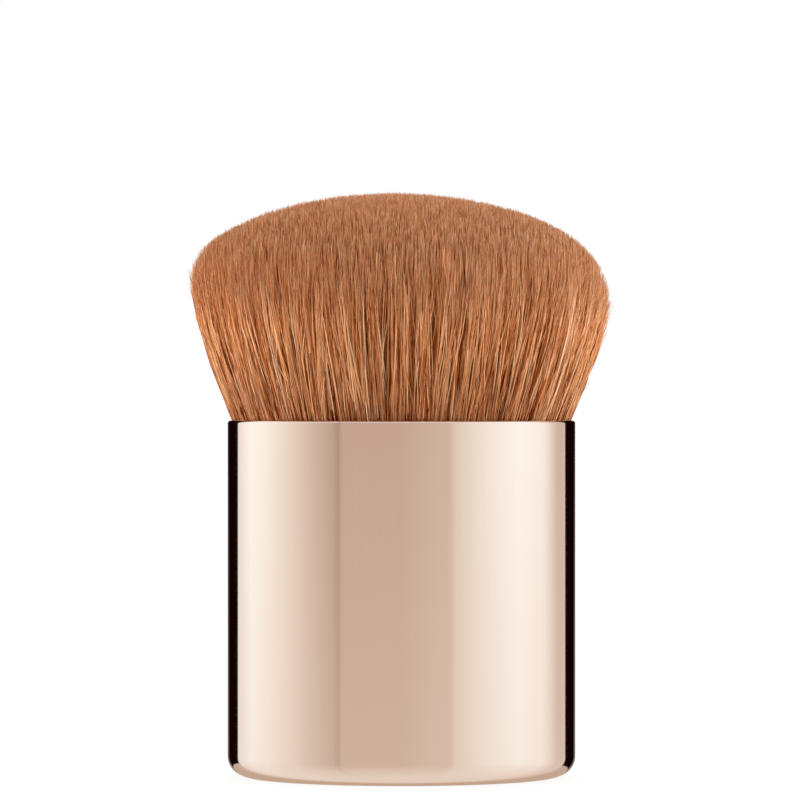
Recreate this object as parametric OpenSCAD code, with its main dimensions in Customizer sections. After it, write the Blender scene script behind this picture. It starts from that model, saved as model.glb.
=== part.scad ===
// Kabuki makeup brush: a dense domed head of fine bristles in a short polished metal barrel.
// The frame's origin is the middle of the base, +Z is up and the brush is seen from -Y.

/* [Barrel] */
// Outside diameter of the metal barrel
barrel_d = 40; // [37:0.5:43]
// Height of the metal barrel, from the base to the lip
barrel_h = 41; // [38:0.5:46]
// Thickness of the drawn metal
shell_wall = 0.5; // [0.4:0.05:0.7]
// Outer radius of the corner round the base
base_round = 2.4; // [1.6:0.1:3]
// Outer radius of the corner round the lip
lip_round = 0.4; // [0.2:0.05:0.4]
// Diameter of the shallow dish pressed into the underside
dish_d = 28; // [20:0.5:30]
// Depth of that dish
dish_depth = 0.4; // [0.2:0.05:0.6]

/* [Head] */
// Widest diameter of the bristle head
head_d = 48.2; // [45:0.2:51]
// Height of the widest point above the lip
belly_h = 15.5; // [13:0.1:18]
// Height of the domed crown above the widest point
crown_h = 10.6; // [8:0.1:13]
// How far the side bulges past a straight line from the lip to the widest point
side_bulge = 0.4; // [0:0.05:0.8]
// Slope of the trimmed crown in degrees, falling towards +X
crown_tilt = 1.5; // [0:0.1:3]

/* [Bristles] */
// Number of strands, each standing for a lock of fine filaments
strand_count = 440; // [300:10:500]
// Least gap between two strands where they leave the resin
strand_gap = 0.1; // [0.06:0.02:0.2]
// Length over which a strand narrows to its tip
tip_len = 2.2; // [1:0.1:3]
// Gap between the outermost strands and the metal at the lip
lip_gap = 0.15; // [0.1:0.05:0.4]

/* [Roots] */
// Thickness of the top slice of resin that the strands grow from
slice_t = 1.5; // [1:0.1:2.5]
// Depth of the resin's surface below the mouth of the cup
resin_drop = 2; // [1:0.1:3]
// Thickness of the thread wound round the roots
thread_d = 0.8; // [0.5:0.05:1]
// Number of turns of that thread
thread_turns = 4; // [2:1:6]
// Gap between the cast resin and the cup
resin_gap = 0.03; // [0.02:0.01:0.08]

/* [Tuft cup] */
// Height of the metal cup that holds the roots
cup_h = 12.2; // [10:0.2:14]
// Thickness of the cup's metal
cup_wall = 0.4; // [0.3:0.05:0.6]
// Radius of the corner inside the cup's floor
cup_round = 1; // [0.6:0.1:1.6]
// Width of the flange round the cup's mouth
cup_flange = 0.8; // [0.5:0.1:1.2]
// Gap between the roots and the cup's mouth
cup_clear = 0.15; // [0.1:0.05:0.3]

/* [Handle core] */
// Gap between the core and the metal barrel
core_gap = 0.15; // [0.1:0.05:0.3]
// Thickness of the core's outer wall
core_wall = 1.5; // [1.2:0.1:1.8]
// Depth of the core's rim below the lip of the barrel
core_drop = 2; // [1.5:0.1:3]
// Thickness of the deck across the core
deck_t = 2; // [1.5:0.1:2.5]
// Diameter of the vent hole through the deck
vent_d = 6; // [3:0.5:8]
// Height of the webs that stand on the weight
web_h = 6.3; // [4:0.1:7]
// Thickness of a web
web_t = 1.2; // [0.8:0.1:1.6]
// Number of webs
web_count = 8; // [4:1:12]
// Depth of the upper webs below the socket's mouth
web_drop = 1; // [0.5:0.1:2]
// Thickness of the wall round the cup's socket
socket_wall = 1.6; // [1.4:0.1:2]
// Gap between the cup and its socket
socket_gap = 0.1; // [0.05:0.05:0.2]
// Gap under the cup's floor, which the glue fills
floor_gap = 0.3; // [0.1:0.05:0.5]
// Gap kept round the bead of glue on the socket
bead_gap = 0.2; // [0.1:0.05:0.4]
// Number of crush ribs on the outside of the core
rib_count = 12; // [6:1:18]
// Width of a crush rib
rib_w = 1.2; // [0.8:0.1:1.6]
// Gap left between the crest of a crush rib and the metal
rib_gap = 0.05; // [0.03:0.01:0.08]

/* [Weight] */
// Gap between the steel weight and the core around it
weight_gap = 0.85; // [0.4:0.05:2]
// Height of the steel weight
weight_h = 5; // [4:0.5:6.5]
// Chamfer round the weight's edges
weight_chamfer = 0.6; // [0.3:0.1:1]
// Margin of the foam tape inside the edge of the raised floor
tape_margin = 1; // [0.5:0.1:2]
// Thickness of the foam tape
tape_t = 0.8; // [0.5:0.1:1.2]

/* [Hidden] */
$fn = 96;

// Heights, stacked from the base upwards
floor_top = shell_wall + dish_depth;
weight_z = floor_top + tape_t;
weight_top = weight_z + weight_h;
deck_z = weight_top + web_h;
deck_top = deck_z + deck_t;
cup_z = deck_top + floor_gap;
cup_top = cup_z + cup_h;
socket_top = cup_top - cup_wall;
resin_top = cup_top - resin_drop;
slice_z = resin_top - slice_t;
core_z = base_round + core_gap;
core_top = barrel_h - core_drop;

// The outline of the head: straight from the roots past the lip to a knee, then easing to the belly
shell_bore_r = barrel_d / 2 - shell_wall;
head_r = head_d / 2;
lip_r = shell_bore_r - lip_gap;
knee_share = 0.6;
knee_h = knee_share * belly_h;
knee_z = barrel_h + knee_h;
belly_z = barrel_h + belly_h;
knee_r = lip_r + knee_share * (head_r - lip_r) + side_bulge;
lean = (knee_r - lip_r) / knee_h;
upper_lean = (head_r - knee_r) / (belly_h - knee_h);

// Radius of the outside of the bristles at a height
function fan_r(z) = z < knee_z ? lip_r + lean * (z - barrel_h)
                  : z < belly_z ? knee_r + upper_lean * (z - knee_z) : head_r;

// Radii of what holds the roots, from the bristles outwards
root_r = fan_r(resin_top);
cup_bore_r = fan_r(cup_top) + cup_clear;
cup_r = cup_bore_r + cup_wall;
plug_r = cup_bore_r - resin_gap;
flange_r = cup_r + cup_flange;
socket_r = cup_r + socket_gap;
core_r = shell_bore_r - core_gap;
core_bore_r = core_r - core_wall;
weight_r = core_bore_r - weight_gap;
tape_r = dish_d / 2 - tape_margin;
bead_r = socket_r + socket_wall - flange_r;

// Strands stand on a spiral of equal areas, all turned alike, so two of them stay apart where their
// centres lie further apart than one side of a strand. This sets their size from the least spacing
golden_angle = 137.508;
spiral_spacing = 1.545 / sqrt(strand_count);
strand_sides = 3;
side_angle = 360 / strand_sides;
side_share = 2 * sin(side_angle / 2);
strand_r = (spiral_spacing * root_r - strand_gap) / (side_share + spiral_spacing);
strand_share = strand_r / root_r;
spread = 1 - strand_share;
root_dip = slice_t / 2;

// A strand's place across the head: its share of the fan's radius, and its turn
function share(i) = spread * sqrt((i + 0.5) / strand_count);
function turn(i) = i * golden_angle;

// Height of the trimmed crown above a point at that share and turn
function crown_z(u, a) = belly_z + crown_h * sqrt(1 - u * u) - tan(crown_tilt) * u * head_r * cos(a);

// Corners of strand i at height z
function strand_ring(i, z) =
    let(r = fan_r(z), u = share(i), a = turn(i))
    [for (k = [0 : strand_sides - 1])
        let(b = k * side_angle)
        [r * (u * cos(a) + strand_share * cos(b)), r * (u * sin(a) + strand_share * sin(b)), z]];

function strand_tip(i) =
    let(u = share(i), a = turn(i), z = crown_z(u, a), r = fan_r(z))
    [r * u * cos(a), r * u * sin(a), z];

// A strand is three rings of corners and then its tip
strand_heights = [resin_top - root_dip, knee_z];
ring_count = len(strand_heights) + 1;
strand_size = ring_count * strand_sides + 1;

function strand_points(i) = concat(
    [for (z = strand_heights) each strand_ring(i, z)],
    strand_ring(i, crown_z(share(i), turn(i)) - tip_len),
    [strand_tip(i)]);

function strand_faces(i) =
    let(first = i * strand_size, last = first + (ring_count - 1) * strand_sides)
    concat(
        [[for (k = [0 : strand_sides - 1]) first + k]],
        [for (ring = [0 : ring_count - 2], k = [0 : strand_sides - 1])
            let(low = first + ring * strand_sides, next = (k + 1) % strand_sides)
            each [[low + k, low + strand_sides + k, low + next],
                  [low + next, low + strand_sides + k, low + strand_sides + next]]],
        [for (k = [0 : strand_sides - 1]) [last + k, last + strand_sides, last + (k + 1) % strand_sides]]);

// Least gap between two strands where they leave the resin. Each is compared with the next turns
neighbour_reach = 60;
function spiral_point(i) = root_r * share(i) * [cos(turn(i)), sin(turn(i))];
least_gap = min([for (i = [0 : strand_count - 2], j = [i + 1 : min(i + neighbour_reach, strand_count - 1)])
    norm(spiral_point(i) - spiral_point(j))]) - side_share * strand_r;
echo(strand_radius = strand_r, least_strand_gap = least_gap);

// Half of a section with a rounded bottom corner, from the axis outwards
module rounded_section(r, h, corner) {
    square([r - corner, h]);
    translate([0, corner]) square([r, h - corner]);
    translate([r - corner, corner]) circle(corner);
}

// A flat ring standing on height z
module ring(r_in, r_out, z, h) {
    translate([0, 0, z])
        difference() {
            cylinder(r = r_out, h = h);
            translate([0, 0, -h]) cylinder(r = r_in, h = 3 * h);
        }
}

// Radial plates between two radii, standing on height z
module webs(r_in, r_out, z, h) {
    for (k = [0 : web_count - 1])
        rotate([0, 0, k * 360 / web_count])
            translate([r_in, -web_t / 2, z]) cube([r_out - r_in, web_t, h]);
}

// Drawn metal cup with a rounded lip, a rounded base and a dished underside
module outer_shell() {
    lip_edge_r = barrel_d / 2 - lip_round;
    wall_top = barrel_h - lip_round;
    color([0.86, 0.72, 0.62])
        difference() {
            rotate_extrude()
                union() {
                    difference() {
                        union() {
                            rounded_section(barrel_d / 2, wall_top, base_round);
                            translate([lip_edge_r, wall_top]) circle(lip_round);
                            translate([0, base_round]) square([lip_edge_r, barrel_h - base_round]);
                        }
                        translate([0, shell_wall])
                            rounded_section(shell_bore_r, barrel_h, base_round - shell_wall);
                    }
                    translate([0, dish_depth]) square([dish_d / 2 + shell_wall, shell_wall]);
                }
            translate([0, 0, -dish_depth]) cylinder(d = dish_d, h = 2 * dish_depth);
        }
}

// Turned steel slug that makes the brush stand firmly
module base_weight() {
    color([0.62, 0.63, 0.65])
        translate([0, 0, weight_z]) {
            cylinder(r1 = weight_r - weight_chamfer, r2 = weight_r, h = weight_chamfer);
            translate([0, 0, weight_chamfer]) cylinder(r = weight_r, h = weight_h - 2 * weight_chamfer);
            translate([0, 0, weight_h - weight_chamfer])
                cylinder(r1 = weight_r, r2 = weight_r - weight_chamfer, h = weight_chamfer);
        }
}

// Double-sided foam disc between the weight and the raised floor of the shell
module weight_tape() {
    color([0.92, 0.91, 0.88])
        translate([0, 0, floor_top]) cylinder(r = tape_r, h = tape_t);
}

// Moulded plastic core that fills the barrel, stands on the weight and carries the tuft cup
module handle_core() {
    hub_r = vent_d / 2;
    hub_wall = web_t;
    rib_r = rib_w / 2;
    rib_top = cup_top;
    rib_start = core_z + rib_w;
    color([0.16, 0.15, 0.15])
        difference() {
            union() {
                ring(core_bore_r, core_r, core_z, core_top - core_z);
                ring(hub_r, core_bore_r + core_wall / 2, deck_z, deck_t);
                ring(hub_r, hub_r + hub_wall, weight_top, web_h + deck_t / 2);
                webs(hub_r + hub_wall / 2, core_bore_r + core_wall / 2, weight_top, web_h + deck_t / 2);
                ring(socket_r, socket_r + socket_wall, deck_z + deck_t / 2, socket_top - deck_z - deck_t / 2);
                webs(socket_r + socket_wall / 2, core_bore_r + core_wall / 2, deck_z + deck_t / 2,
                     socket_top - deck_z - deck_t / 2 - web_drop);
                for (k = [0 : rib_count - 1])
                    rotate([0, 0, (k + 0.5) * 360 / rib_count])
                        translate([shell_bore_r - rib_gap - rib_r, 0, rib_start])
                            cylinder(r = rib_r, h = rib_top - rib_start, $fn = 32);
            }
            // Above the socket the core is bored wide enough for the bead of glue
            translate([0, 0, socket_top])
                cylinder(r = socket_r + socket_wall + bead_gap, h = barrel_h - socket_top);
            // The rim is bored to a cone that clears the splaying bristles
            translate([0, 0, cup_top])
                cylinder(r1 = fan_r(cup_top) + lip_gap, r2 = fan_r(barrel_h) + lip_gap, h = barrel_h - cup_top);
        }
}

// Drawn metal cup with a flange, into which the roots are glued
module tuft_cup() {
    color([0.8, 0.8, 0.82])
        rotate_extrude()
            union() {
                difference() {
                    translate([0, cup_z]) rounded_section(cup_r, cup_h, cup_round + cup_wall);
                    translate([0, cup_z + cup_wall]) rounded_section(cup_bore_r, cup_h, cup_round);
                }
                translate([cup_bore_r, socket_top]) square([flange_r - cup_bore_r, cup_wall]);
            }
}

// Bead of glue that locks the cup's flange onto the top of its socket
module cup_adhesive() {
    color([0.9, 0.86, 0.72])
        rotate_extrude()
            translate([flange_r, socket_top])
                intersection() {
                    circle(bead_r);
                    square(bead_r);
                }
}

// Cast resin round the roots, with a groove for the thread. Its bottom edge clears the cup's rounded floor
module resin_plug() {
    plug_z = cup_z + cup_wall;
    band_h = thread_turns * thread_d;
    color([0.82, 0.66, 0.4])
        difference() {
            union() {
                translate([0, 0, plug_z]) cylinder(r1 = plug_r - cup_round, r2 = plug_r, h = cup_round);
                translate([0, 0, plug_z + cup_round]) cylinder(r = plug_r, h = slice_z - plug_z - cup_round);
            }
            ring(plug_r - thread_d, plug_r + thread_d, slice_z - thread_d - band_h, band_h);
        }
}

// Thread wound side by side round the roots, kept as the band that its turns fill
module binding_thread() {
    band_h = thread_turns * thread_d;
    color([0.93, 0.9, 0.84])
        ring(plug_r - thread_d, plug_r, slice_z - thread_d - band_h, band_h);
}

// Strands fused to the top slice of the resin
module bristles() {
    color([0.78, 0.52, 0.36])
        union() {
            polyhedron(points = [for (i = [0 : strand_count - 1]) each strand_points(i)],
                       faces = [for (i = [0 : strand_count - 1]) each strand_faces(i)], convexity = 12);
            translate([0, 0, slice_z]) cylinder(r = plug_r, h = slice_t);
        }
}

outer_shell();
base_weight();
weight_tape();
handle_core();
tuft_cup();
cup_adhesive();
resin_plug();
binding_thread();
bristles();
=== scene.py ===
# %% [markdown]
# # A kabuki makeup brush
#
# This lesson dresses a short, dense makeup brush: a head of fine tan bristles that flares out of a
# polished, pale rose-gold barrel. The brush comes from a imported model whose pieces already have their
# real size and place. Two things make this object worth a lesson. The head is tens of thousands of thin
# strands, which Geometry Nodes grow from one rule. And the barrel is a mirror, so what it looks like is
# decided by the studio around it.
#
# All lengths are in metres. The brush stands on z = 0 and is seen from -Y.

import math
import bmesh
import bpy
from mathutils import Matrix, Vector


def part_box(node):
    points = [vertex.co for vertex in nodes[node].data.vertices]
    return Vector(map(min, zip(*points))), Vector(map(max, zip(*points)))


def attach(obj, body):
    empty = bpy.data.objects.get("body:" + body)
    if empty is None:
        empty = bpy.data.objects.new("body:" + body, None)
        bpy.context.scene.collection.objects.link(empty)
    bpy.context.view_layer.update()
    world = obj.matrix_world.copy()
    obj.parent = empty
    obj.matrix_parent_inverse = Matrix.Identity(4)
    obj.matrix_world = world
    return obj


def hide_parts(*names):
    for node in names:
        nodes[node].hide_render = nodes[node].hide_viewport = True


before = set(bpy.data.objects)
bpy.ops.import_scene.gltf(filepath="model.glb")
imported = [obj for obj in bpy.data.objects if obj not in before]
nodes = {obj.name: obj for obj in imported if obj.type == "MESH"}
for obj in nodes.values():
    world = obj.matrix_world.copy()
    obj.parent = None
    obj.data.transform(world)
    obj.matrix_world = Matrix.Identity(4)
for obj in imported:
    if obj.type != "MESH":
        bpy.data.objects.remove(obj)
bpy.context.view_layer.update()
MM = 0.001
FULL_TURN = 2 * math.pi
print("nodes:", ", ".join(sorted(nodes)))

# %% [markdown]
# ## Sizes read from the brush
#
# The barrel's radius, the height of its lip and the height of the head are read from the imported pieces,
# so the hair always starts inside the lip and ends where the solid head does. A box doesn't tell how
# thick the wall is or how the head swells, so those sizes are repeated here. The head is widest at its
# belly. Its crown slopes down to the right, and it drops a little more at the right shoulder and stands a
# little higher at the left one, as a hand-trimmed head does.

# %% Read the sizes
SHELL_WALL = 0.5 * MM
LIP_GAP = 0.06 * MM
BELLY_RADIUS = 24.1 * MM
BELLY_ABOVE_LIP = 15.5 * MM
TIP_MARGIN = 0.1 * MM
CROWN_SLOPE = math.tan(math.radians(1.0))
RIGHT_DROP = 1.2 * MM
LEFT_RISE = 1.3 * MM

shell_low, shell_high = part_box("outer_shell")
head_low, head_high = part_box("bristles")
LIP_HEIGHT = shell_high[2]
BARREL_RADIUS = (shell_high[0] - shell_low[0]) / 2
LIP_RADIUS = BARREL_RADIUS - SHELL_WALL - LIP_GAP
BELLY_HEIGHT = LIP_HEIGHT + BELLY_ABOVE_LIP
CROWN_HEIGHT = head_high[2] - BELLY_HEIGHT - TIP_MARGIN
ROOT_HEIGHT = head_low[2]
print(f"lip at {LIP_HEIGHT:.4f} m, crown at {BELLY_HEIGHT + CROWN_HEIGHT:.4f} m")

# %% [markdown]
# ## The camera
#
# The brush was photographed from about 0.7 m with a long lens, level with its lip. A long lens keeps the
# barrel's two sides nearly parallel. The camera isn't tilted, and it stands a hair to the left of the
# brush's axis.

# %% Place the camera
CAMERA_DISTANCE = 0.690
CAMERA_HEIGHT = 43.28 * MM
CAMERA_SIDESTEP = -0.17 * MM
FOCAL_LENGTH = 270.0
SENSOR_WIDTH = 36.0

camera_data = bpy.data.cameras.new("camera")
camera_data.lens = FOCAL_LENGTH
camera_data.sensor_width = SENSOR_WIDTH
camera = bpy.data.objects.new("camera", camera_data)
camera.location = (CAMERA_SIDESTEP, -CAMERA_DISTANCE, CAMERA_HEIGHT)
camera.rotation_euler = (math.pi / 2, 0, 0)
bpy.context.scene.collection.objects.link(camera)
bpy.context.scene.camera = camera
bpy.context.scene.view_settings.view_transform = "Standard"
print("camera height", camera.location.z)

# %% [markdown]
# ## Writing node trees as arithmetic
#
# Shaders and Geometry Nodes are both trees of small nodes. Wired by hand in Python they are hard to
# read. Here a small class wraps one output of a node and overloads the operators, so that `a * b + c`
# adds two Math nodes. A second one wraps the tree, and its `add` method makes any other node: its
# settings are set first, and then its sockets, each to a value or to the output of another node.

# %% An output that does arithmetic
class Wire:
    """One output of a node, which can be used in arithmetic."""

    def __init__(self, graph, socket):
        self.graph, self.socket = graph, socket

    def __getitem__(self, name):
        """Another output of the same node."""
        return Wire(self.graph, self.socket.node.outputs[name])

    def math(self, operation, *values):
        return self.graph.math(operation, self, *values)

    def __add__(self, other):
        return self.math("ADD", other)

    def __radd__(self, other):
        return self.math("ADD", other)

    def __sub__(self, other):
        return self.math("SUBTRACT", other)

    def __rsub__(self, other):
        return self.graph.math("SUBTRACT", other, self)

    def __mul__(self, other):
        return self.math("MULTIPLY", other)

    def __rmul__(self, other):
        return self.math("MULTIPLY", other)

    def __truediv__(self, other):
        return self.math("DIVIDE", other)

    def __rtruediv__(self, other):
        return self.graph.math("DIVIDE", other, self)

    def __pow__(self, power):
        return self.math("POWER", power)


print("outputs can be added, multiplied and raised to a power")

# %% A tree that takes its nodes in one line each
class Graph:
    """A node tree, emptied and then filled."""

    def __init__(self, tree):
        self.tree = tree
        tree.nodes.clear()

    def add(self, kind, settings=None, sockets=None):
        """Adds a node and gives back its first output."""
        made = self.tree.nodes.new(kind)
        for name, value in (settings or {}).items():
            if name == "stops":
                self.set_stops(made.color_ramp, value)
            else:
                setattr(made, name, value)
        for name, value in (sockets or {}).items():
            if isinstance(value, Wire):
                self.tree.links.new(value.socket, made.inputs[name])
            else:
                made.inputs[name].default_value = value
        return Wire(self, made.outputs[0]) if made.outputs else None

    @staticmethod
    def set_stops(ramp, stops):
        """Gives a colour ramp its stops, each a place from 0 to 1 and a colour."""
        while len(ramp.elements) > 1:
            ramp.elements.remove(ramp.elements[-1])
        for i, (place, colour) in enumerate(stops):
            stop = ramp.elements[0] if i == 0 else ramp.elements.new(place)
            stop.position = place
            stop.color = (*colour, 1.0)

    def math(self, operation, *values):
        return self.add("ShaderNodeMath", {"operation": operation}, dict(enumerate(values)))

    def vectors(self, operation, *values):
        return self.add("ShaderNodeVectorMath", {"operation": operation}, dict(enumerate(values)))

    def scaled(self, value, factor):
        return self.add("ShaderNodeVectorMath", {"operation": "SCALE"}, {0: value, "Scale": factor})

    def vector(self, x=0.0, y=0.0, z=0.0):
        return self.add("ShaderNodeCombineXYZ", {}, {0: x, 1: y, 2: z})

    def parts(self, vector):
        """A vector taken apart, to be read by the names X, Y and Z."""
        return self.add("ShaderNodeSeparateXYZ", {}, {0: vector})

    def length(self, vector):
        return self.add("ShaderNodeVectorMath", {"operation": "LENGTH"}, {0: vector})["Value"]

    def ramp(self, share, stops):
        """A colour that follows the share along the stops."""
        return self.add("ShaderNodeValToRGB", {"stops": stops}, {0: share})

    def blend(self, share, first, second):
        """Mixes two colours."""
        sockets = {"Factor": share, 6: first, 7: second}
        return self.add("ShaderNodeMix", {"data_type": "RGBA"}, sockets)[2]

    def span(self, value, low, high, start=0.0, end=1.0):
        """Goes evenly from start to end while the value goes from low to high."""
        return self.add("ShaderNodeMapRange", {}, {0: value, 1: low, 2: high, 3: start, 4: end})

    def ease(self, value, low, high, start=0.0, end=1.0):
        """Goes smoothly from start to end while the value goes from low to high."""
        settings = {"interpolation_type": "SMOOTHSTEP"}
        return self.add("ShaderNodeMapRange", settings, {0: value, 1: low, 2: high, 3: start, 4: end})


def rgb(red, green, blue):
    return (red, green, blue, 1.0)


print("node trees can be written as arithmetic")

# %% [markdown]
# ## The studio
#
# A polished barrel shows nothing of its own: each vertical line of it mirrors one direction of the room.
# Product photographers stand two tall white softboxes beside the object and two narrow black flags just
# outside the picture behind it, and the flags give the barrel its crisp dark edges. The room's front,
# where the photographer stands, stays dimmer and warmer.
#
# The room could be built from glowing panels, but a ring of colours painted on the world is simpler, has
# no noise and is hidden from the camera, which sees plain white. The ramp runs round the horizon, from
# straight behind the brush, past its left, the camera and its right, to straight behind it again.

# %% Directions round the room
def turned(degrees):
    """The place on the ring of a direction, in degrees to the right of the camera as the brush sees it."""
    return degrees / 360 + 0.5


SOFTBOX = (1.08, 1.13, 1.17)
SOFTBOX_FAR = (0.99, 0.98, 0.96)
SOFTBOX_EDGE = (0.80, 0.72, 0.64)
ROOM_FRONT = (0.60, 0.45, 0.375)
ROOM_FRONT_RIGHT = (0.65, 0.53, 0.455)
PANEL_GAP = (0.43, 0.31, 0.235)
FLAG = (0.006, 0.001, 0.0005)
BACKDROP = (1.0, 1.0, 1.0)
UNDER_FLAG = (0.50, 0.41, 0.34)
RING = [
    (turned(-180), BACKDROP),
    (turned(-173), BACKDROP),
    (turned(-172), FLAG),
    (turned(-138.7), FLAG),
    (turned(-137.7), (0.93, 0.90, 0.88)),
    (turned(-133), (0.93, 0.90, 0.88)),
    (turned(-118), SOFTBOX),
    (turned(-100), (1.04, 1.03, 1.01)),
    (turned(-84), (0.92, 0.86, 0.80)),
    (turned(-60), (0.68, 0.57, 0.50)),
    (turned(-46), (0.55, 0.43, 0.355)),
    (turned(-43), (0.47, 0.345, 0.27)),
    (turned(-42), PANEL_GAP),
    (turned(-41), (0.52, 0.39, 0.32)),
    (turned(-39), ROOM_FRONT),
    (turned(0), ROOM_FRONT),
    (turned(20), ROOM_FRONT_RIGHT),
    (turned(32), (0.67, 0.55, 0.48)),
    (turned(36), SOFTBOX_EDGE),
    (turned(60), SOFTBOX_FAR),
    (turned(84), SOFTBOX),
    (turned(104), (1.06, 1.05, 1.05)),
    (turned(110), (1.00, 0.97, 0.95)),
    (turned(117), (0.86, 0.78, 0.73)),
    (turned(125), (0.67, 0.56, 0.50)),
    (turned(134), (0.67, 0.51, 0.43)),
    (turned(138), (0.73, 0.63, 0.58)),
    (turned(139), FLAG),
    (turned(172), FLAG),
    (turned(173), BACKDROP),
]
FLAGLESS_RING = [(place, UNDER_FLAG if colour == FLAG else colour) for place, colour in RING]
print("the ring has", len(RING), "stops")

# %% [markdown]
# Downwards the room ends in the pale table. The flags stand on it, so their black stops short a little
# under the horizon. The panels take on some of the table's tone just under the horizon, so the barrel
# gets a little paler and more even towards its foot, and fade into the table slowly after that. Right
# under the brush, which only the last bit of the rounded base mirrors, the table is painted with the
# brush's tan shadow, a painted shadow. Each place in the room is told by its direction, an arrow of length
# one: its part to the side, its part to the back and its rise above the horizon. A pair below is where a
# change starts and where it ends.

# %% Paint the world
TABLE = rgb(0.83, 0.75, 0.69)
# painted shadow: the brush's tan shadow on the table right under it
PAINTED_SHADOW_UNDER_BRUSH = rgb(0.57, 0.43, 0.34)
CEILING = rgb(0.75, 0.73, 0.72)
WHITE = rgb(1.0, 1.0, 1.0)
FLAG_FOOT = (-0.24, -0.21)
FLAG_FOOT_TILT = 0.06
FLAG_ASIDE = (0.02, 0.12)
FLAG_BEHIND = (0.74, 0.76)
DIP_END = -0.065
DIP_SHARE = 0.33
TABLE_ALONE = -0.95
PAINTED_SHADOW_TILT = 1.75
PAINTED_SHADOW_FADE = (1.42, 1.86)
CEILING_FADE = (0.55, 0.80)

world = bpy.data.worlds.new("studio")
bpy.context.scene.world = world
world.use_nodes = True
sky = Graph(world.node_tree)
direction = sky.parts(sky.add("ShaderNodeTexCoord")["Generated"])
side, behind, rise = direction["X"], direction["Y"], direction["Z"]
bearing = sky.math("ARCTAN2", side, behind * -1.0) / FULL_TURN + 0.5
above_foot = sky.ease(rise + FLAG_FOOT_TILT * side, *FLAG_FOOT)
room = sky.blend(above_foot, sky.ramp(bearing, FLAGLESS_RING), sky.ramp(bearing, RING))
flag_share = sky.ease(side * side, *FLAG_ASIDE) * sky.ease(behind, *FLAG_BEHIND) * above_foot
dip = sky.span(rise, 0.0, DIP_END, 0.0, DIP_SHARE)
low = dip + sky.span(rise, DIP_END, TABLE_ALONE, 0.0, 1.0 - DIP_SHARE)
room = sky.blend(low * (1.0 - flag_share), room, TABLE)
# painted shadow: right under the brush the table turns to the brush's tan shadow
painted_shadow_share = sky.ease(PAINTED_SHADOW_TILT * behind - rise, *PAINTED_SHADOW_FADE) * (1.0 - above_foot)
room = sky.blend(painted_shadow_share, room, PAINTED_SHADOW_UNDER_BRUSH)
room = sky.blend(sky.ease(rise, *CEILING_FADE), room, CEILING)
seen = sky.blend(sky.add("ShaderNodeLightPath")["Is Camera Ray"], room, WHITE)
light = sky.add("ShaderNodeBackground", {}, {"Color": seen, "Strength": 1.0})
sky.add("ShaderNodeOutputWorld", {}, {0: light})
print("the studio is painted")

# %% [markdown]
# ## The floor
#
# The brush stands on a pale tabletop. To the camera the table is white, with only the faint shadow under
# the barrel's edge. It lights the brush from below as a real one would. The mirror of the barrel already
# has its table in the painted room, so glossy rays go through this one.

# %% Lay the floor
FLOOR_SIZE = 6.0
FLOOR_PALE = rgb(0.86, 0.86, 0.86)
SHADOW_SHARE = 0.12
SHADOW_REACH = 60 * MM


def finish(name):
    """A new material and its empty node tree."""
    made = bpy.data.materials.new(name)
    made.use_nodes = True
    return made, Graph(made.node_tree)


def own_place(g):
    """Where on its own piece a point lies, so that a pattern stays put on it."""
    return g.add("ShaderNodeTexCoord")["Object"]


def tabletop_finish():
    made, g = finish("pale_tabletop")
    rays = g.add("ShaderNodeLightPath")
    white_share = g.ease(g.length(own_place(g)), BARREL_RADIUS, SHADOW_REACH, 1.0 - SHADOW_SHARE, 1.0)
    pale = g.add("ShaderNodeBsdfDiffuse", {}, {"Color": FLOOR_PALE})
    white = g.add("ShaderNodeEmission", {}, {"Color": WHITE, "Strength": 1.0})
    clear = g.add("ShaderNodeBsdfTransparent")
    to_camera = {0: rays["Is Camera Ray"] * white_share, 1: pale, 2: white}
    to_metal = {0: rays["Is Glossy Ray"], 1: g.add("ShaderNodeMixShader", {}, to_camera), 2: clear}
    g.add("ShaderNodeOutputMaterial", {}, {0: g.add("ShaderNodeMixShader", {}, to_metal)})
    return made


bpy.ops.mesh.primitive_plane_add(size=FLOOR_SIZE)
floor = bpy.context.object
floor.name = "tabletop"
floor.data.materials.append(tabletop_finish())
print("floor", FLOOR_SIZE, "m across")

# %% [markdown]
# ## The softboxes that light the bristles
#
# The painted ring already lights everything softly. Two lamps stand where the ring shows its softboxes,
# and one hangs above and behind. They model the head: its sides and its crown catch more light than the
# middle, which faces the dim front of the room. The metal is spared their reflection, because the ring
# already gives it the softboxes.

# %% Hang the lamps
def softbox(name, place, size, power):
    data = bpy.data.lights.new(name, "AREA")
    data.shape = "RECTANGLE"
    data.size, data.size_y = size
    data.energy = power
    lamp = bpy.data.objects.new(name, data)
    lamp.location = place
    to_lip = -lamp.location
    to_lip.z += LIP_HEIGHT
    lamp.rotation_euler = to_lip.to_track_quat("-Z", "Y").to_euler()
    lamp.visible_glossy = False
    lamp.visible_camera = False
    bpy.context.scene.collection.objects.link(lamp)


softbox("left_softbox", place=(-0.78, -0.13, 0.20), size=(0.55, 0.8), power=9.0)
softbox("right_softbox", place=(0.78, -0.12, 0.20), size=(0.55, 0.8), power=7.8)
softbox("top_softbox", place=(0.0, 0.45, 0.75), size=(0.6, 0.6), power=5.0)
print("three lamps")

# %% [markdown]
# ## The polished barrel
#
# The barrel's shell is drawn from thin aluminium sheet, polished bright and anodised to a very pale rose
# gold. Drawing leaves faint marks along the barrel, which polishing almost takes away. They are too fine
# to see as lines, but they make the reflections slightly soft in one direction. Noise stretched along the
# barrel gives them, read from Object coordinates so that they stay put.

# %% Polish the shell
def surface(g, sockets):
    """Ends a material's tree in one Principled shader with these sockets."""
    g.add("ShaderNodeOutputMaterial", {}, {0: g.add("ShaderNodeBsdfPrincipled", {}, sockets)})


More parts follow.
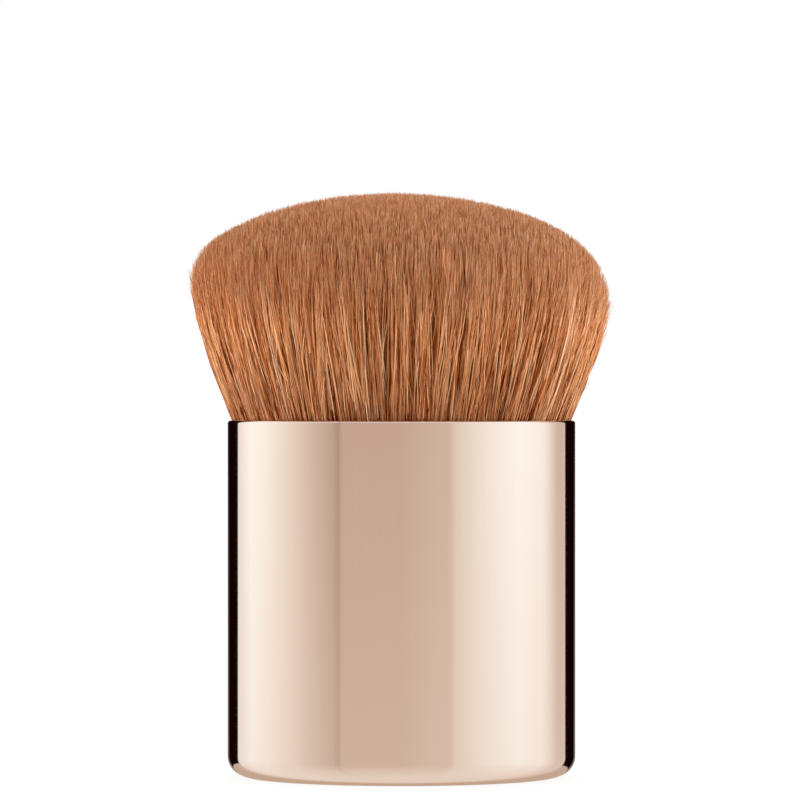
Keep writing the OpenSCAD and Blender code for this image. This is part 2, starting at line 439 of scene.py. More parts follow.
def noise(g, place, waves, detail=2.0, stretch=(1.0, 1.0, 1.0)):
    """Noise with so many waves to the metre, stretched along an axis where its factor is below one."""
    spread = g.vectors("MULTIPLY", place, tuple(waves * s for s in stretch))
    return g.add("ShaderNodeTexNoise", {}, {"Vector": spread, "Scale": 1.0, "Detail": detail})


def bump(g, height, depth):
    return g.add("ShaderNodeBump", {}, {"Height": height, "Distance": depth, "Strength": 1.0})


def polished_shell():
    made, g = finish("polished_shell")
    place = own_place(g)
    marks = noise(g, place, 2500, detail=3.0, stretch=(1.0, 1.0, 0.02))
    cloud = noise(g, place, 90)
    tone = cloud * 0.5 + marks * 0.5
    surface(g, {
        "Base Color": g.blend(tone, rgb(0.915, 0.79, 0.695), rgb(0.945, 0.83, 0.745)),
        "Metallic": 1.0,
        "Roughness": 0.035 + 0.03 * marks + 0.02 * cloud,
        "Normal": bump(g, marks, 0.0004 * MM),
    })
    return made


shell_finish = polished_shell()
print("polished", shell_finish.name)

# %% [markdown]
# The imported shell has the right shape, but its mirror finish shows every facet of the lip, so the barrel
# is turned anew from the same section, with fine steps in its rounds. The section starts and ends on the
# axis, so the body it turns is closed. Next to each round there is one more ring of points, which keeps
# the smooth shading of the long walls straight.

# %% Turn a closed section round the axis
def turned_body(name, section, sides=96):
    """A closed body with this section of (radius, height) pairs, from its lower pole to its upper one."""
    shape = bmesh.new()
    rings = []
    for radius, height in section:
        if radius == 0.0:
            rings.append([shape.verts.new((0.0, 0.0, height))])
            continue
        angles = [FULL_TURN * i / sides for i in range(sides)]
        places = [(radius * math.cos(a), radius * math.sin(a), height) for a in angles]
        rings.append([shape.verts.new(place) for place in places])
    for lower, upper in zip(rings, rings[1:]):
        for i in range(sides):
            j = (i + 1) % sides
            corners = [lower[i % len(lower)], lower[j % len(lower)]]
            corners += [upper[j % len(upper)], upper[i % len(upper)]]
            shape.faces.new(dict.fromkeys(corners))
    mesh = bpy.data.meshes.new(name)
    shape.to_mesh(mesh)
    shape.free()
    made = bpy.data.objects.new(name, mesh)
    bpy.context.scene.collection.objects.link(made)
    return made


def settle(piece, material, slot, *replaced, smooth=True):
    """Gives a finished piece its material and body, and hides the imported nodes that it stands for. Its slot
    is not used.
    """
    piece.data.materials.append(material)
    if smooth:
        piece.data.shade_smooth()
    else:
        piece.data.shade_flat()
    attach(piece, "root")
    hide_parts(*replaced)


def arc(centre, radius, start, end, steps):
    """Points on an arc of the section, between two angles in degrees."""
    angles = [math.radians(start + (end - start) * i / steps) for i in range(steps + 1)]
    return [(centre[0] + radius * math.cos(a), centre[1] + radius * math.sin(a)) for a in angles]


# %% The barrel
BASE_ROUND = 2.4 * MM
LIP_ROUND = 0.4 * MM
EDGE_ROUND = 0.08 * MM
DISH_RADIUS = 14 * MM
DISH_DEPTH = 0.4 * MM
STEP_ROUND = 0.15 * MM
NEXT = 0.05 * MM
BARREL_SIDES = 256
BASE_STEPS, LIP_STEPS, FLOOR_STEPS, EDGE_STEPS, DISH_STEPS = 28, 12, 12, 4, 5


def barrel_section():
    """From the middle of the underside, out and up over the lip, and down inside to the floor."""
    outside, bore, top = BARREL_RADIUS, BARREL_RADIUS - SHELL_WALL, LIP_HEIGHT
    foot, floor_top = outside - BASE_ROUND, SHELL_WALL
    raised = DISH_RADIUS + SHELL_WALL
    points = [(0.0, DISH_DEPTH), (DISH_RADIUS - STEP_ROUND - NEXT, DISH_DEPTH)]
    points += arc((DISH_RADIUS - STEP_ROUND, DISH_DEPTH - STEP_ROUND), STEP_ROUND, 90, 0, DISH_STEPS)
    points += arc((DISH_RADIUS + STEP_ROUND, STEP_ROUND), STEP_ROUND, 180, 270, DISH_STEPS)
    points += [(DISH_RADIUS + STEP_ROUND + NEXT, 0.0), (foot - NEXT, 0.0)]
    points += arc((foot, BASE_ROUND), BASE_ROUND, -90, 0, BASE_STEPS)
    points += [(outside, BASE_ROUND + NEXT), (outside, top - LIP_ROUND - NEXT)]
    points += arc((outside - LIP_ROUND, top - LIP_ROUND), LIP_ROUND, 0, 90, LIP_STEPS)
    points += arc((bore + EDGE_ROUND, top - EDGE_ROUND), EDGE_ROUND, 90, 180, EDGE_STEPS)
    points += [(bore, top - EDGE_ROUND - NEXT), (bore, BASE_ROUND + NEXT)]
    points += arc((foot, BASE_ROUND), BASE_ROUND - SHELL_WALL, 0, -90, FLOOR_STEPS)
    points += [(raised + STEP_ROUND + NEXT, floor_top)]
    points += arc((raised + STEP_ROUND, floor_top + STEP_ROUND), STEP_ROUND, 270, 180, DISH_STEPS)
    inner_step = (raised - STEP_ROUND, floor_top + DISH_DEPTH - STEP_ROUND)
    points += arc(inner_step, STEP_ROUND, 0, 90, DISH_STEPS)
    points += [(raised - STEP_ROUND - NEXT, floor_top + DISH_DEPTH), (0.0, floor_top + DISH_DEPTH)]
    return points


barrel = turned_body("polished_barrel", barrel_section(), sides=BARREL_SIDES)
settle(barrel, shell_finish, "polished_shell", "outer_shell")
print("barrel", len(barrel.data.polygons), "faces")

# %% [markdown]
# ## The parts inside
#
# Nothing inside the barrel shows while the brush is whole, but each piece still has its own finish, for a
# cutaway or an exploded view. The slug is turned steel, so its marks run round it. The core is moulded
# plastic with a fine spark-eroded grain. The cup is drawn aluminium, with marks along it.

# %% Turned steel, moulded plastic and drawn aluminium
def dress(node, material):
    """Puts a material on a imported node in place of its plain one."""
    slots = nodes[node].material_slots
    for place in slots:
        place.material = material
    print(node, "wears", material.name, "in", len(slots), "slot")


def turned_steel():
    made, g = finish("weight_steel")
    place = own_place(g)
    from_axis = g.length(g.vectors("MULTIPLY", place, (1.0, 1.0, 0.0)))
    rings = noise(g, g.vector(from_axis, 0.0, g.parts(place)["Z"]), 9000, detail=3.0)
    stain = noise(g, place, 260, detail=4.0)
    surface(g, {
        "Base Color": g.blend(stain, rgb(0.50, 0.51, 0.53), rgb(0.64, 0.64, 0.65)),
        "Metallic": 1.0,
        "Roughness": 0.24 + 0.18 * rings + 0.08 * stain,
        "Normal": bump(g, rings, 0.006 * MM),
    })
    return made


def moulded_plastic():
    made, g = finish("core_plastic")
    place = own_place(g)
    grain = noise(g, place, 5200, detail=3.0)
    flow = noise(g, place, 120, detail=3.0, stretch=(1.0, 1.0, 0.4))
    surface(g, {
        "Base Color": g.blend(flow, rgb(0.018, 0.016, 0.016), rgb(0.030, 0.027, 0.026)),
        "Roughness": 0.48 + 0.16 * grain,
        "Normal": bump(g, grain, 0.012 * MM),
    })
    return made


def drawn_aluminium():
    made, g = finish("cup_aluminium")
    place = own_place(g)
    marks = noise(g, place, 5200, detail=3.0, stretch=(1.0, 1.0, 0.03))
    cloud = noise(g, place, 200)
    surface(g, {
        "Base Color": g.blend(cloud, rgb(0.74, 0.74, 0.76), rgb(0.84, 0.84, 0.85)),
        "Metallic": 1.0,
        "Roughness": 0.26 + 0.22 * marks,
        "Normal": bump(g, marks, 0.005 * MM),
    })
    return made


dress("base_weight", turned_steel())
dress("handle_core", moulded_plastic())
dress("tuft_cup", drawn_aluminium())

# %% [markdown]
# The foam tape is a mass of tiny closed cells. The hot glue is waxy and sets with a soft skin and a few
# trapped bubbles. The resin round the roots is clear amber, cloudy where the filaments' dye has bled into
# it. Voronoi cells make the foam's cells and, eased to a small dimple in the middle of each, the bubbles.

# %% Foam, glue and resin
def cells(g, place, scale):
    """How far each point is from the middle of its cell."""
    return g.add("ShaderNodeTexVoronoi", {}, {"Vector": place, "Scale": scale})["Distance"]


def foam():
    made, g = finish("foam_tape")
    place = own_place(g)
    pores = cells(g, place, 4200.0)
    tone = noise(g, place, 700, detail=3.0)
    surface(g, {
        "Base Color": g.blend(pores * 0.6 + tone * 0.4, rgb(0.84, 0.82, 0.77), rgb(0.70, 0.67, 0.61)),
        "Roughness": 0.86 + 0.1 * tone,
        "Normal": bump(g, pores * -1.0, 0.09 * MM),
    })
    return made


def hot_glue():
    made, g = finish("hot_glue")
    place = own_place(g)
    ripples = noise(g, place, 420)
    bubbles = g.ease(cells(g, place, 900.0), 0.10, 0.22)
    surface(g, {
        "Base Color": g.blend(ripples, rgb(0.86, 0.78, 0.55), rgb(0.76, 0.65, 0.41)),
        "Roughness": 0.30 + 0.15 * ripples,
        "Normal": bump(g, ripples + bubbles * 0.3, 0.06 * MM),
    })
    return made


def cast_resin():
    made, g = finish("cast_resin")
    place = own_place(g)
    cloud = noise(g, place, 260, detail=4.0)
    bubbles = g.ease(cells(g, place, 1300.0), 0.07, 0.16)
    surface(g, {
        "Base Color": g.blend(g.ease(cloud, 0.35, 0.65), rgb(0.60, 0.33, 0.095), rgb(0.72, 0.47, 0.19)),
        "Roughness": 0.12 + 0.12 * cloud,
        "Coat Weight": 0.5,
        "Coat Roughness": 0.05,
        "Normal": bump(g, bubbles, 0.04 * MM),
    })
    return made


resin = cast_resin()
dress("weight_tape", foam())
dress("cup_adhesive", hot_glue())
dress("resin_plug", resin)

# %% [markdown]
# The binding is cotton thread, wound turn beside turn, and each thread is itself twisted from plies. The
# turn that a point is on follows from its height, plus a share for its angle, because the winding climbs
# as it goes round. A sine of that number swells each turn and paints shade into the grooves between
# turns, and a faster one twists the plies.

# %% Thread
THREAD_PITCH = 0.4 * MM
TWISTS_ROUND = 160.0


def wave(turns):
    """A swell from 0 to 1 in each turn."""
    return (turns * FULL_TURN).math("SINE") * 0.5 + 0.5


def cotton_thread():
    made, g = finish("cotton_thread")
    place = own_place(g)
    parts = g.parts(place)
    round_share = g.math("ARCTAN2", parts["Y"], parts["X"]) / FULL_TURN
    turns = parts["Z"] / THREAD_PITCH + round_share
    swell_and_groove_shade = wave(turns)
    twist = wave(turns + round_share * TWISTS_ROUND)
    fuzz = noise(g, place, 6000, detail=3.0)
    surface(g, {
        # painted shade: the colour is darker in the grooves between turns
        "Base Color": g.blend(swell_and_groove_shade * 0.7 + fuzz * 0.3, rgb(0.55, 0.48, 0.37), rgb(0.86, 0.81, 0.70)),
        "Roughness": 0.82 + 0.12 * fuzz,
        "Normal": bump(g, swell_and_groove_shade + twist * 0.25 + fuzz * 0.2, 0.12 * MM),
    })
    return made


dress("binding_thread", cotton_thread())

# %% [markdown]
# ## Growing the bristles with Geometry Nodes
#
# The head is one rule, repeated. A strand leaves the lip at a share of the fan's radius, leans outwards
# with the fan and stops at the domed crown. Geometry Nodes suit that: one tree makes points, puts each
# in its place by arithmetic on its number, strings them into curves and gives the curves a thin
# three-sided tube. The same tree makes the long strands that show on the sides and the short ones that
# fill the crown, and its named inputs are the only difference.

# %% The fan's outline
FAN_EASE = 1.38


def fan_radius(height):
    """Radius of the outside of the head at a height: it eases from the lip to the belly."""
    below = 1.0 - (height - LIP_HEIGHT) / (BELLY_HEIGHT - LIP_HEIGHT)
    below = below.math("MAXIMUM", 0.0) if isinstance(below, Wire) else max(below, 0.0)
    return LIP_RADIUS + (BELLY_RADIUS - LIP_RADIUS) * (1.0 - below ** FAN_EASE)


lip_and_belly = fan_radius(LIP_HEIGHT), fan_radius(BELLY_HEIGHT)
print("the fan is {:.4f} m at the lip and {:.4f} m at the belly".format(*lip_and_belly))

# %% The inputs of the tree
FULL_LENGTH = 31 * MM
INPUTS = {
    "Strands": ("NodeSocketInt", 1000),
    "Points": ("NodeSocketInt", 6),
    "Turn Start": ("NodeSocketFloat", 0.0),
    "Turn Width": ("NodeSocketFloat", 1.0),
    "Inner Share": ("NodeSocketFloat", 0.92),
    "Outer Share": ("NodeSocketFloat", 1.0),
    "Root Height": ("NodeSocketFloat", LIP_HEIGHT - 5 * MM),
    "Length": ("NodeSocketFloat", FULL_LENGTH),
    "Thickness": ("NodeSocketFloat", 0.125 * MM),
    "Lock Size": ("NodeSocketFloat", 1.0 * MM),
    "Lock Pull": ("NodeSocketFloat", 0.5),
    "Lean": ("NodeSocketFloat", 2.2 * MM),
    "Spread": ("NodeSocketFloat", 1.1 * MM),
    "Bow": ("NodeSocketFloat", 0.35 * MM),
    "Stray": ("NodeSocketFloat", 3.5 * MM),
    "Crowding": ("NodeSocketFloat", 1.3),
    "Uneven Tips": ("NodeSocketFloat", 0.7 * MM),
    "Short Ones": ("NodeSocketFloat", 0.0),
    "Fuzz": ("NodeSocketFloat", 0.5 * MM),
    "Lumps": ("NodeSocketFloat", 1.1 * MM),
    # painted shade: how much darker the deeper strands are painted
    "Depth Shade": ("NodeSocketFloat", 0.0),
    "Shade Spread": ("NodeSocketFloat", 1.2),
    "Seed": ("NodeSocketInt", 1),
    "Finish": ("NodeSocketMaterial", None),
}
print("the tree has", len(INPUTS), "inputs")

# %% [markdown]
# A point knows only its index. Divided by the number of points in a strand, it tells which strand the
# point is on, and what is left over tells how far up. Everything that sets one strand apart from the next
# comes from random numbers drawn by the strand's own number. Each use of them has its own seed, so that
# two of them never move together.

# %% What the tree knows of a strand
CHANCES = [
    "outward", "turn", "uneven", "wild", "spin", "shade", "astray", "fuzz_out", "fuzz_up",
    "bow_turn", "bow", "thickness", "short", "twist",
]
SEEDS_APART = 100.0
ROUNDING_GUARD = 0.001


class StrandGraph(Graph):
    """A tree whose points are strung along strands."""

    def __init__(self, tree):
        super().__init__(tree)
        self.want = self.add("NodeGroupInput")
        self.index = self.add("GeometryNodeInputIndex")
        points = self.want["Points"]
        self.strand = (self.index / points + ROUNDING_GUARD).math("FLOOR")
        self.step = self.index - self.strand * points
        self.along = self.step / (points - 1.0)

    def chance(self, use, low=0.0, high=1.0):
        """A random number for each strand."""
        seed = self.want["Seed"] * SEEDS_APART + float(CHANCES.index(use) + 1)
        sockets = {2: low, 3: high, "ID": self.strand, "Seed": seed}
        return self.add("FunctionNodeRandomValue", {"data_type": "FLOAT"}, sockets)[1]

    def heading(self, angle):
        """The arrow of length one that points this way."""
        return self.vector(angle.math("COSINE"), angle.math("SINE"))

    def cloud(self, place, waves, detail=2.0):
        """Noise over the head as seen from above, with so many waves to the size of a lock."""
        sockets = {"Vector": place, "Scale": waves / self.want["Lock Size"], "Detail": detail}
        return self.add("ShaderNodeTexNoise", {"noise_dimensions": "2D"}, sockets)

    def keep(self, geometry, name, value, domain="POINT", kind="FLOAT"):
        """Stores a value on the geometry under a name."""
        settings = {"data_type": kind, "domain": domain}
        sockets = {"Geometry": geometry, "Name": name, "Value": value}
        return self.add("GeometryNodeStoreNamedAttribute", settings, sockets)

    def read(self, name):
        return self.add("GeometryNodeInputNamedAttribute", {"data_type": "FLOAT"}, {"Name": name})


print(len(CHANCES), "random numbers for each strand")

# %% [markdown]
# Real bristles aren't even. They gather into small locks, lean a little with their neighbours, and a few
# stray across the others. Voronoi cells gather them, noise leans them, and random numbers make strays.
# A random number raised to a high power is nearly always close to zero, which is how a few strands stray
# far while the rest hardly do.

# %% Where a strand stands, and what pulls it aside
BREEZE_WAVES = 0.45
STRAY_POWER = 12.0


def stand(g):
    """How far out in its ring the strand stands, its share of the radius, its angle and its place."""
    want = g.want
    inner, outer = want["Inner Share"] ** 2.0, want["Outer Share"] ** 2.0
    outward = g.chance("outward") ** want["Crowding"]
    share = (inner + (outer - inner) * outward) ** 0.5
    turn = want["Turn Start"] + want["Turn Width"] * g.chance("turn")
    return outward, share, turn, g.scaled(g.heading(turn), share * BELLY_RADIUS)


def pulls(g, spot):
    """Three arrows: to the middle of its lock, the way its tip drifts, and the way it bows."""
    want = g.want
    sockets = {"Vector": spot, "Scale": 1.0 / want["Lock Size"]}
    lock = g.add("ShaderNodeTexVoronoi", {"voronoi_dimensions": "2D"}, sockets)
    to_lock = g.scaled(g.vectors("SUBTRACT", lock["Position"], spot), want["Lock Pull"])
    breeze = g.vectors("SUBTRACT", g.cloud(spot, BREEZE_WAVES)["Color"], (0.5, 0.5, 0.5))
    leaning = g.scaled(breeze, want["Lean"] * 2.0)
    wild = g.chance("wild") ** 0.5 * want["Spread"] + g.chance("astray") ** STRAY_POWER * want["Stray"]
    astray = g.scaled(g.heading(g.chance("spin", 0.0, FULL_TURN)), wild)
    drift = g.vectors("MULTIPLY", g.vectors("ADD", leaning, astray), (1.0, 1.0, 0.0))
    bow = g.scaled(g.heading(g.chance("bow_turn", 0.0, FULL_TURN)), g.chance("bow") * want["Bow"])
    return to_lock, drift, bow


print("strays are rare:", f"{1 - 0.5 ** (1 / STRAY_POWER):.0%} of the strands go half way or more")

# %% [markdown]
# The crown is trimmed to a dome, so a tip's height follows from where the tip is. A few strands end
# short, and the tips of one lock stand out or stay back together, which keeps the trimmed crown from
# looking turned on a lathe.

# %% How high a tip stands
RIGHT_POWER = 8.0
LEFT_POWER = 14.0
UNEVEN_POWER = 1.5
SHORT_POWER = 16.0
FUZZ_POWER = 4.0
FUZZ_UP = 0.6
FUZZ_BELOW = 0.15


def tip_height(g, at_tip, lump):
    want = g.want
    reach = g.length(at_tip) / BELLY_RADIUS
    dome = (1.0 - reach * reach).math("MAXIMUM", 0.0) ** 0.5
    across = g.parts(at_tip)["X"]
    drop = (across / BELLY_RADIUS).math("MAXIMUM", 0.0) ** RIGHT_POWER * RIGHT_DROP
    lift = (across / -BELLY_RADIUS).math("MAXIMUM", 0.0) ** LEFT_POWER * LEFT_RISE
    uneven = want["Uneven Tips"] * g.chance("uneven") ** UNEVEN_POWER
    short = want["Short Ones"] * g.chance("short") ** SHORT_POWER
    fuzz = want["Fuzz"] * (g.chance("fuzz_up") ** FUZZ_POWER * FUZZ_UP - FUZZ_BELOW)
    trimmed = BELLY_HEIGHT + CROWN_HEIGHT * dome - CROWN_SLOPE * across - drop + lift
    return trimmed - uneven - short + fuzz + lump


print(f"the right shoulder drops by up to {RIGHT_DROP / MM:.1f} mm")

# %% [markdown]
# On its way up, a strand swings towards the middle of its lock and a little way back. Its drift starts the
# other way round: a strand that leans to the left at its tip starts a little to the right, so neighbours
# cross part of the way up. Whatever pulls it, it stays inside the fan's outline, apart from a little fuzz.

# %% The path from lip to tip
LOCK_SWING = 0.75 * math.pi
LOCK_AT_TIP = math.sin(LOCK_SWING)
CROSSING = 0.4
FUZZ_OUT = 1.6
LUMP_OUT = 0.5


def tip_place(g, spot, to_lock, drift):
    aside = g.vectors("ADD", g.scaled(to_lock, LOCK_AT_TIP), g.scaled(drift, 1.0 - CROSSING))
    return g.vectors("ADD", spot, aside)


def path(g, spot, height, tip, pulled, lump):
    """Where the strand is at this height."""
    to_lock, drift, bow = pulled
    free = ((height - LIP_HEIGHT) / (tip - LIP_HEIGHT)).math("MAXIMUM", 0.0)
    gather = (free * LOCK_SWING).math("SINE")
    radius = fan_radius(height)
    sideways = g.vectors("ADD", g.scaled(to_lock, gather), g.scaled(drift, free - CROSSING))
    sideways = g.vectors("ADD", sideways, g.scaled(bow, (free * math.pi).math("SINE")))
    flat = g.vectors("ADD", g.scaled(spot, radius / BELLY_RADIUS), sideways)
    fuzz = g.chance("fuzz_out") ** FUZZ_POWER * g.along ** 2.0 * g.want["Fuzz"] * FUZZ_OUT
    farthest = radius + fuzz + lump * LUMP_OUT * free
    limit = (farthest / g.length(flat).math("MAXIMUM", MM)).math("MINIMUM", 1.0)
    return g.vectors("ADD", g.scaled(flat, limit), g.vector(0.0, 0.0, height))


print(f"at its tip a strand keeps {LOCK_AT_TIP:.0%} of its lock's pull")

# %% [markdown]
# Locks differ in their dye, and so do neighbours. The streaks that show on the sides follow the radius,
# so the tips that stand behind one another share a shade, and a streak runs on from the side over the
# shoulder. The strands that stand deeper between the others are painted darker, a painted shade for the
# light that doesn't get to them, but their tips reach the open and keep their own shade.

# %% The shade of a strand
STREAK_WAVES = 3.6
STREAK_INWARD = 0.15
MIDDLE_SHADE = 0.57
DYE_SWING = 0.4
STREAK_SWING = 1.9
SHADE_RANGE = (0.02, 0.97)


def strand_shade(g, outward, share, turn, dye):
    want = g.want
    round_the_head = g.vector(turn * BELLY_RADIUS, share * BELLY_RADIUS * STREAK_INWARD)
    streak = g.cloud(round_the_head, STREAK_WAVES, detail=1.0)
    shade = MIDDLE_SHADE + (dye - 0.5) * DYE_SWING + (streak - 0.5) * STREAK_SWING * share ** 3.0
    shade = shade + (g.chance("shade") - 0.5) * want["Shade Spread"]
    # painted shade: the deeper strands are darker below their tips
    shade = shade - (1.0 - outward) * (1.0 - g.along ** 4.0) * want["Depth Shade"]
    lowest, highest = SHADE_RANGE
    return shade.math("MAXIMUM", lowest).math("MINIMUM", highest)


print("shades run from", *SHADE_RANGE)

# %% [markdown]
# Points become curves, and curves become tubes that taper to a fine tip. Each tube is turned by a random
# angle. A three-sided tube has only three ways to face, and if all of them faced the same way, one side
# of the head would catch the lamps and the other would stay dark.
#
# The UV map says which shade a strand has, from left to right, and how near its tip it is, from bottom to
# top. The three sides of a tube lie a hair apart in it, so that no face is flat in the map.

# %% From points to tubes
TAPER = 0.8
THICKNESS_RANGE = (0.7, 1.25)
TUBE_SIDES = 3
CHART_ASIDE = 0.007
CHART_TOP = 0.98
CHART_UP = 0.004


def tubes_from(g, place, shade, tipward):
    want = g.want
    points = g.add("GeometryNodePoints", {}, {"Count": want["Strands"] * want["Points"], "Position": place})
    points = g.keep(points, "shade", shade)
    points = g.keep(points, "tipward", tipward)
    points = g.keep(points, "taper", (1.0 - TAPER * g.along ** 5.0) * g.chance("thickness", *THICKNESS_RANGE))
    points = g.keep(points, "twist", g.chance("twist", 0.0, FULL_TURN))
    strung = {"Points": points, "Curve Group ID": g.strand, "Weight": g.step}
    curves = g.add("GeometryNodePointsToCurves", {}, strung)
    curves = g.add("GeometryNodeSetCurveTilt", {}, {"Curve": curves, "Tilt": g.read("twist")})
    outline = g.add("GeometryNodeCurvePrimitiveCircle", {}, {"Resolution": TUBE_SIDES, "Radius": 0.5})
    outline = g.keep(outline, "rim", g.index)
    swept = {"Curve": curves, "Profile Curve": outline, "Scale": want["Thickness"] * g.read("taper")}
    return g.add("GeometryNodeCurveToMesh", {}, {**swept, "Fill Caps": True})


def charted(g, tubes):
    """Writes the UV map, and takes off the values that it was made from."""
    rim = g.read("rim")
    up = g.read("tipward") * CHART_TOP + CHART_UP * rim * (2.0 - rim)
    tubes = g.keep(tubes, "OFBake", g.vector(g.read("shade") + CHART_ASIDE * rim, up), "CORNER", "FLOAT2")
    for name in ("shade", "tipward", "taper", "twist", "rim"):
        tubes = g.add("GeometryNodeRemoveAttribute", {}, {"Geometry": tubes, "Name": name})
    return tubes


print("each tube has", TUBE_SIDES, "sides")

# %% The whole tree
DYE_WAVES = 0.8


def bristle_tree():
    tree = bpy.data.node_groups.new("grow_bristles", "GeometryNodeTree")
    tree.is_modifier = True
    for name, (kind, value) in INPUTS.items():
        socket = tree.interface.new_socket(name=name, in_out="INPUT", socket_type=kind)
        if value is not None:
            socket.default_value = value
    tree.interface.new_socket(name="Bristles", in_out="OUTPUT", socket_type="NodeSocketGeometry")
    g = StrandGraph(tree)
    want = g.want

    outward, share, turn, spot = stand(g)
    dye = g.cloud(spot, DYE_WAVES)
    lump = (dye - 0.5) * want["Lumps"] * share ** 3.0
    to_lock, drift, bow = pulls(g, spot)
    tip = tip_height(g, tip_place(g, spot, to_lock, drift), lump)
    root = (tip - want["Length"]).math("MAXIMUM", want["Root Height"])
    height = root + (tip - root) * g.along
    place = path(g, spot, height, tip, (to_lock, drift, bow), lump)
    tipward = 1.0 - (tip - height) / FULL_LENGTH
    tubes = charted(g, tubes_from(g, place, strand_shade(g, outward, share, turn, dye), tipward))

    whole = g.add("GeometryNodeRealizeInstances", {}, {"Geometry": tubes})
    smooth = g.add("GeometryNodeSetShadeSmooth", {}, {"Geometry": whole})
    dressed = g.add("GeometryNodeSetMaterial", {}, {"Geometry": smooth, "Material": want["Finish"]})
    g.add("NodeGroupOutput", {}, {"Bristles": dressed})
    return tree


grower = bristle_tree()
print("the tree has", len(grower.nodes), "nodes")

# %% [markdown]
# ## The colour of the bristles
#
# The filaments are a dyed synthetic, warm tan, and no two locks are quite alike. Each strand carries its
# own shade, with the painted shade of the deeper strands in it, and its distance from the tip in its UV
# map, so the colour is worked out from those two alone: across the map the shade goes from reddish brown
# to golden tan, and up the map a grey ramp of painted shade darkens the strand lower down, towards the
# lip, so that it gets lighter towards its fine tip. The last of the tip turns to one even tone, because the
# ends of many strands blur into a soft crown.

# %% Mix the dye
SHADES = [
    (0.0, (0.23, 0.035, 0.003)),
    (0.3, (0.53, 0.165, 0.046)),
    (0.6, (0.79, 0.375, 0.165)),
    (1.0, (0.84, 0.52, 0.31)),
]
# painted shade: a grey ramp, darker lower down the strand towards the lip
PAINTED_SHADE_ALONG = [
    (0.0, (0.45, 0.42, 0.42)),
    (0.5, (0.54, 0.50, 0.51)),
    (0.6, (0.69, 0.67, 0.68)),
    (0.75, (0.88, 0.90, 0.90)),
    (0.9, (1.0, 1.0, 1.0)),
]
TIP_TONE = rgb(0.40, 0.22, 0.125)
TIP_TONE_FROM = 0.93
TIP_TONE_SHARE = 0.6


def bristle_finish():
    made, g = finish("bristle_fibre")
    chart = g.parts(g.add("ShaderNodeUVMap", {"uv_map": "OFBake"}))
    # the second ramp is painted shade along the strand
    colour = g.vectors("MULTIPLY", g.ramp(chart["X"], SHADES), g.ramp(chart["Y"], PAINTED_SHADE_ALONG))
    colour = g.blend(g.ease(chart["Y"], TIP_TONE_FROM, 1.0, 0.0, TIP_TONE_SHARE), colour, TIP_TONE)
    surface(g, {"Base Color": colour, "Roughness": 0.6, "Specular IOR Level": 0.0})
    return made


fibre = bristle_finish()
print("dyed", fibre.name)

# %% [markdown]
# ## Growing the head in wedges
#
# The head is grown in eight wedges, like slices of a cake, so that no single mesh gets too heavy. Each
# wedge has long strands for the sides and short ones for the crown. The tree's result is turned into a
# plain mesh, and the modifier is taken off.

# %% Grow one piece
def grow(name, **wanted):
    """Runs the tree with these inputs and gives back its result as a plain mesh object."""
    made = bpy.data.objects.new(name, bpy.data.meshes.new(name))
    bpy.context.scene.collection.objects.link(made)
    modifier = made.modifiers.new("grow", "NODES")
    modifier.node_group = grower
    items = grower.interface.items_tree
    sockets = {item.name: item.identifier for item in items if item.in_out == "INPUT"}
    for key, value in wanted.items():
        modifier[sockets[key.replace("_", " ").title()]] = value
    modifier[sockets["Finish"]] = fibre
    made.update_tag()
    evaluated = made.evaluated_get(bpy.context.evaluated_depsgraph_get())
    mesh = bpy.data.meshes.new_from_object(evaluated)
    made.modifiers.clear()
    made.data = mesh
    mesh.name = name
    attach(made, "root")
    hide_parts("bristles")
    return made


def triangles(piece):
    piece.data.calc_loop_triangles()
    return len(piece.data.loop_triangles)


print("ready to grow")

# %% Grow the wedges
WEDGES = 8
SIDE_SEED = 10
CROWN_SEED = 30
SIDES = {
    "strands": 4800, "points": 5, "inner_share": 0.86, "uneven_tips": 4.0 * MM, "short_ones": 14 * MM,
    "depth_shade": 2.0, "shade_spread": 0.45,
}
CROWN = {
    "strands": 6000, "points": 3, "inner_share": 0.0, "outer_share": 0.93, "length": 6 * MM,
    "thickness": 0.18 * MM, "lean": 0.8 * MM, "shade_spread": 1.0,
}

total = 0
for i in range(WEDGES):
    wedge = {"turn_width": FULL_TURN / WEDGES, "turn_start": i * (FULL_TURN / WEDGES)}
    side = grow(f"side_bristles_{i + 1}", seed=SIDE_SEED + i, **wedge, **SIDES)
    crown = grow(f"crown_bristles_{i + 1}", seed=CROWN_SEED + i, **wedge, **CROWN)
    total += triangles(side) + triangles(crown)
print("bristles:", total, "triangles")

# %% [markdown]
# ## What the strands grow from
#
# Between the strands the eye meets the shaded mass of the ones behind. A closed body stands for that
# mass: it rises from the resin slice that holds the roots, through the barrel's mouth, and stays under
# the outermost strands and their tips. Its flanks are painted dark, a painted shade for the gaps between
# long strands. Its top lies close under the tips and is painted a light tan, lighter than the dye: painted
# light for the dense field of lit tips that a trimmed head shows from above. The slice itself is a disc of
# the same amber resin as the plug.

# %% The finish of the shaded mass
PAINTED_LIGHT_FROM = BELLY_HEIGHT + 1 * MM
PAINTED_LIGHT_FULL = BELLY_HEIGHT + 4 * MM


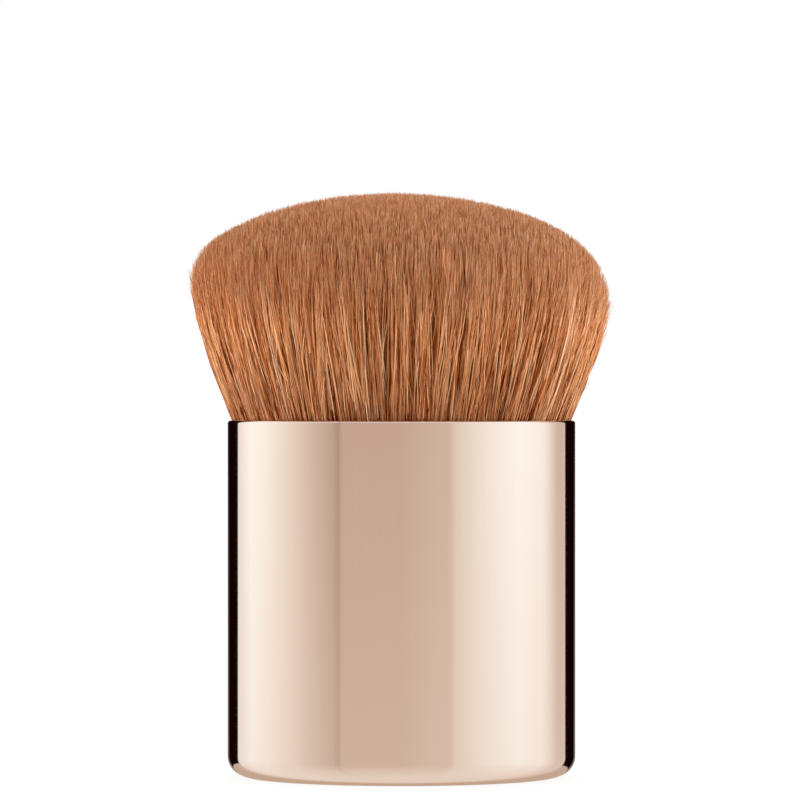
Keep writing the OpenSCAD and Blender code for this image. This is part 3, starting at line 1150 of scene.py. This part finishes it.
def shaded_mass_finish():
    made, g = finish("shaded_bristles")
    place = own_place(g)
    streaks = noise(g, place, 4500, detail=3.0, stretch=(1.0, 1.0, 0.03))
    between = g.ease(streaks, 0.3, 0.7)
    # painted shade on the flanks and painted light on the top: a shaded and a lit copy of the bristles' tan
    painted_shade_flank = g.blend(between, rgb(0.08, 0.013, 0.002), rgb(0.22, 0.055, 0.012))
    top = g.blend(between, rgb(0.66, 0.37, 0.21), rgb(0.95, 0.65, 0.43))
    painted_light_share = g.ease(g.parts(place)["Z"], PAINTED_LIGHT_FROM, PAINTED_LIGHT_FULL)
    surface(g, {
        "Base Color": g.blend(painted_light_share, painted_shade_flank, top),
        "Roughness": 0.7 + 0.2 * streaks,
        "Specular IOR Level": 0.0,
        "Normal": bump(g, streaks, 0.08 * MM),
    })
    return made


mass_finish = shaded_mass_finish()
print("mixed", mass_finish.name)

# %% The shaded mass
STEPS = 12
ROOT_SLOPE = 0.35
SLICE_LOW = ROOT_HEIGHT
SLICE_HIGH = ROOT_HEIGHT + 1.5 * MM
SLICE_RIM = 0.1 * MM
CORE_SHARE = 0.92
CORE_SINK = 3.0 * MM
TIP_SINK = 1.5 * MM


def root_radius(height):
    """Radius of the bundle below the lip, where it runs straight down to the resin."""
    return LIP_RADIUS - ROOT_SLOPE * (LIP_HEIGHT - height)


def mass_section():
    """From the resin slice up through the lip, out to the belly and over the crown."""
    foot = BELLY_HEIGHT - CORE_SINK
    rise = CROWN_HEIGHT + CORE_SINK - TIP_SINK
    points = [(0.0, SLICE_HIGH), (root_radius(SLICE_HIGH) - SLICE_RIM, SLICE_HIGH)]
    points += [(CORE_SHARE * LIP_RADIUS, LIP_HEIGHT)]
    heights = [LIP_HEIGHT + (foot - LIP_HEIGHT) * i / STEPS for i in range(1, STEPS + 1)]
    points += [(CORE_SHARE * fan_radius(height), height) for height in heights]
    widest = points[-1][0]
    angles = [math.pi / 2 * i / STEPS for i in range(1, STEPS)]
    points += [(widest * math.cos(a), foot + rise * math.sin(a)) for a in angles]
    return points + [(0.0, foot + rise)]


mass = turned_body("bristle_core", mass_section())
settle(mass, mass_finish, "bristle_fibre", "bristles")
print("mass", len(mass.data.polygons), "faces")

# %% The resin slice
low_rim, high_rim = (root_radius(SLICE_LOW), SLICE_LOW), (root_radius(SLICE_HIGH), SLICE_HIGH)
slice_piece = turned_body("root_slice", [(0.0, SLICE_LOW), low_rim, high_rim, (0.0, SLICE_HIGH)])
settle(slice_piece, resin, "cast_resin", "bristles", smooth=False)
print("slice", len(slice_piece.data.polygons), "faces")
